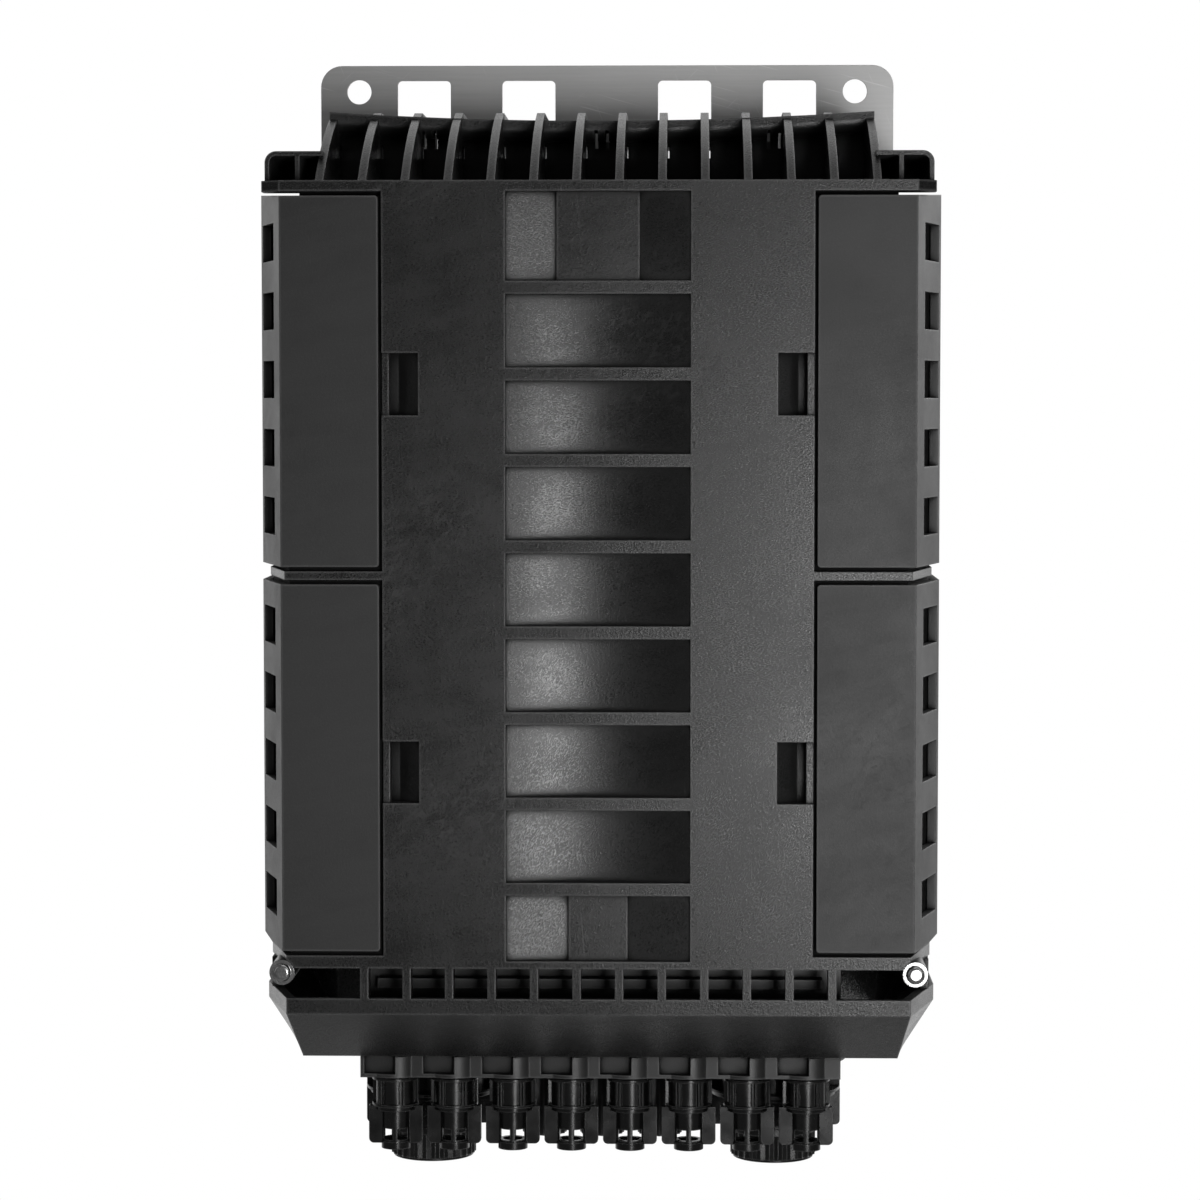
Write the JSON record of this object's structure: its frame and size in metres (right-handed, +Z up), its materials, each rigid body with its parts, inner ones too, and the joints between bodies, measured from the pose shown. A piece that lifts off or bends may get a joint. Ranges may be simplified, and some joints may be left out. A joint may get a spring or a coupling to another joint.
{
  "type": "fibre splice closure",
  "caption": "Black two-shell fibre splice closure with snap-over side clamps, finned crown, slotted foot, cable glands and a stainless pole bracket.",
  "frame": {"origin": "midway between the bracket's two bolt holes, on the pole face of the bracket", "axes": "+X across to the right seen from the front, +Y from the front panel back to the pole, +Z up"},
  "size_m": [0.268, 0.1502, 0.4521],
  "materials": {
    "shell_plastic": "black moulded plastic with a fine grain",
    "clamp_plastic": "black moulded plastic with a fine grain",
    "port_plastic": "black moulded plastic",
    "gland_plastic": "black moulded plastic with a shine",
    "bracket_steel": "brushed stainless sheet with handling scratches",
    "screw_steel": "plain stainless",
    "pin_steel": "ground stainless rod",
    "anchor_steel": "plain stainless",
    "chrome": "bright plating",
    "seal_rubber": "soft black rubber",
    "tray_plastic": "light grey moulded plastic",
    "lid_clear": "clear plastic sheet",
    "strap_webbing": "woven hook and loop strap"
  },
  "bodies": {
    "shell": {"front_cover": "shell_plastic", "rear_base": "shell_plastic", "floor_plate": "shell_plastic", "hinge_pin_upper_left": "pin_steel", "hinge_pin_upper_right": "pin_steel", "hinge_pin_lower_left": "pin_steel", "hinge_pin_lower_right": "pin_steel", "perimeter_gasket": "seal_rubber", "small_gland_seals": "seal_rubber", "large_gland_seals": "seal_rubber", "mounting_bracket": "bracket_steel", "bracket_screws": "screw_steel", "captive_screw_left": "chrome", "captive_screw_right": "chrome", "screw_washer_left": "chrome", "screw_washer_right": "chrome", "port_block": "port_plastic", "rear_plug_1": "port_plastic", "rear_plug_2": "port_plastic", "rear_plug_3": "port_plastic", "gland_body_1": "gland_plastic", "gland_body_2": "gland_plastic", "gland_body_3": "gland_plastic", "gland_body_4": "gland_plastic", "gland_body_5": "gland_plastic", "gland_body_6": "gland_plastic", "gland_body_7": "gland_plastic", "gland_body_8": "gland_plastic", "large_gland_body_left": "gland_plastic", "large_gland_body_right": "gland_plastic", "splice_tray_1": "tray_plastic", "splice_tray_2": "tray_plastic", "splice_tray_3": "tray_plastic", "splice_tray_4": "tray_plastic", "splice_tray_5": "tray_plastic", "splice_tray_6": "tray_plastic", "fibre_basket": "tray_plastic", "tray_rack": "tray_plastic", "tray_lid": "lid_clear", "tray_strap": "strap_webbing", "anchor_bar": "anchor_steel", "anchor_posts": "anchor_steel"},
    "clamp_upper_left": {"clamp_upper_left": "clamp_plastic"},
    "clamp_upper_right": {"clamp_upper_right": "clamp_plastic"},
    "clamp_lower_left": {"clamp_lower_left": "clamp_plastic"},
    "clamp_lower_right": {"clamp_lower_right": "clamp_plastic"},
    "gland_nut_1": {"gland_nut_1": "gland_plastic"},
    "gland_nut_2": {"gland_nut_2": "gland_plastic"},
    "gland_nut_3": {"gland_nut_3": "gland_plastic"},
    "gland_nut_4": {"gland_nut_4": "gland_plastic"},
    "gland_nut_5": {"gland_nut_5": "gland_plastic"},
    "gland_nut_6": {"gland_nut_6": "gland_plastic"},
    "gland_nut_7": {"gland_nut_7": "gland_plastic"},
    "gland_nut_8": {"gland_nut_8": "gland_plastic"},
    "large_gland_nut_left": {"large_gland_nut_left": "gland_plastic"},
    "large_gland_nut_right": {"large_gland_nut_right": "gland_plastic"},
    "large_gland_cap_left": {"large_gland_cap_left": "gland_plastic"},
    "large_gland_cap_right": {"large_gland_cap_right": "gland_plastic"}
  },
  "joints": [
    {"name": "clamp_upper_left_hinge", "type": "hinge", "parent": "shell", "child": "clamp_upper_left", "pos_m": [-0.1275, -0.032, -0.1232], "axis": [0, 0, -1], "range_deg": [0, 100]},
    {"name": "clamp_upper_right_hinge", "type": "hinge", "parent": "shell", "child": "clamp_upper_right", "pos_m": [0.1275, -0.032, -0.1232], "axis": [0, 0, 1], "range_deg": [0, 100]},
    {"name": "clamp_lower_left_hinge", "type": "hinge", "parent": "shell", "child": "clamp_lower_left", "pos_m": [-0.1275, -0.032, -0.2725], "axis": [0, 0, -1], "range_deg": [0, 100]},
    {"name": "clamp_lower_right_hinge", "type": "hinge", "parent": "shell", "child": "clamp_lower_right", "pos_m": [0.1275, -0.032, -0.2725], "axis": [0, 0, 1], "range_deg": [0, 100]},
    {"name": "gland_nut_1_turn", "type": "hinge", "parent": "shell", "child": "gland_nut_1", "pos_m": [-0.08225, -0.105, -0.40685], "axis": [0, 0, 1], "range_deg": [0, 180]},
    {"name": "gland_nut_2_turn", "type": "hinge", "parent": "shell", "child": "gland_nut_2", "pos_m": [-0.05875, -0.105, -0.40685], "axis": [0, 0, 1], "range_deg": [0, 180]},
    {"name": "gland_nut_3_turn", "type": "hinge", "parent": "shell", "child": "gland_nut_3", "pos_m": [-0.03525, -0.105, -0.40685], "axis": [0, 0, 1], "range_deg": [0, 180]},
    {"name": "gland_nut_4_turn", "type": "hinge", "parent": "shell", "child": "gland_nut_4", "pos_m": [-0.01175, -0.105, -0.40685], "axis": [0, 0, 1], "range_deg": [0, 180]},
    {"name": "gland_nut_5_turn", "type": "hinge", "parent": "shell", "child": "gland_nut_5", "pos_m": [0.01175, -0.105, -0.40685], "axis": [0, 0, 1], "range_deg": [0, 180]},
    {"name": "gland_nut_6_turn", "type": "hinge", "parent": "shell", "child": "gland_nut_6", "pos_m": [0.03525, -0.105, -0.40685], "axis": [0, 0, 1], "range_deg": [0, 180]},
    {"name": "gland_nut_7_turn", "type": "hinge", "parent": "shell", "child": "gland_nut_7", "pos_m": [0.05875, -0.105, -0.40685], "axis": [0, 0, 1], "range_deg": [0, 180]},
    {"name": "gland_nut_8_turn", "type": "hinge", "parent": "shell", "child": "gland_nut_8", "pos_m": [0.08225, -0.105, -0.40685], "axis": [0, 0, 1], "range_deg": [0, 180]},
    {"name": "large_gland_nut_left_turn", "type": "hinge", "parent": "shell", "child": "large_gland_nut_left", "pos_m": [-0.07, -0.065, -0.40685], "axis": [0, 0, 1], "range_deg": [0, 180]},
    {"name": "large_gland_nut_right_turn", "type": "hinge", "parent": "shell", "child": "large_gland_nut_right", "pos_m": [0.07, -0.065, -0.40685], "axis": [0, 0, 1], "range_deg": [0, 180]},
    {"name": "large_gland_cap_left_turn", "type": "hinge", "parent": "shell", "child": "large_gland_cap_left", "pos_m": [-0.07, -0.065, -0.4351], "axis": [0, 0, 1], "range_deg": [0, 180]},
    {"name": "large_gland_cap_right_turn", "type": "hinge", "parent": "shell", "child": "large_gland_cap_right", "pos_m": [0.07, -0.065, -0.4351], "axis": [0, 0, 1], "range_deg": [0, 180]}
  ]
}
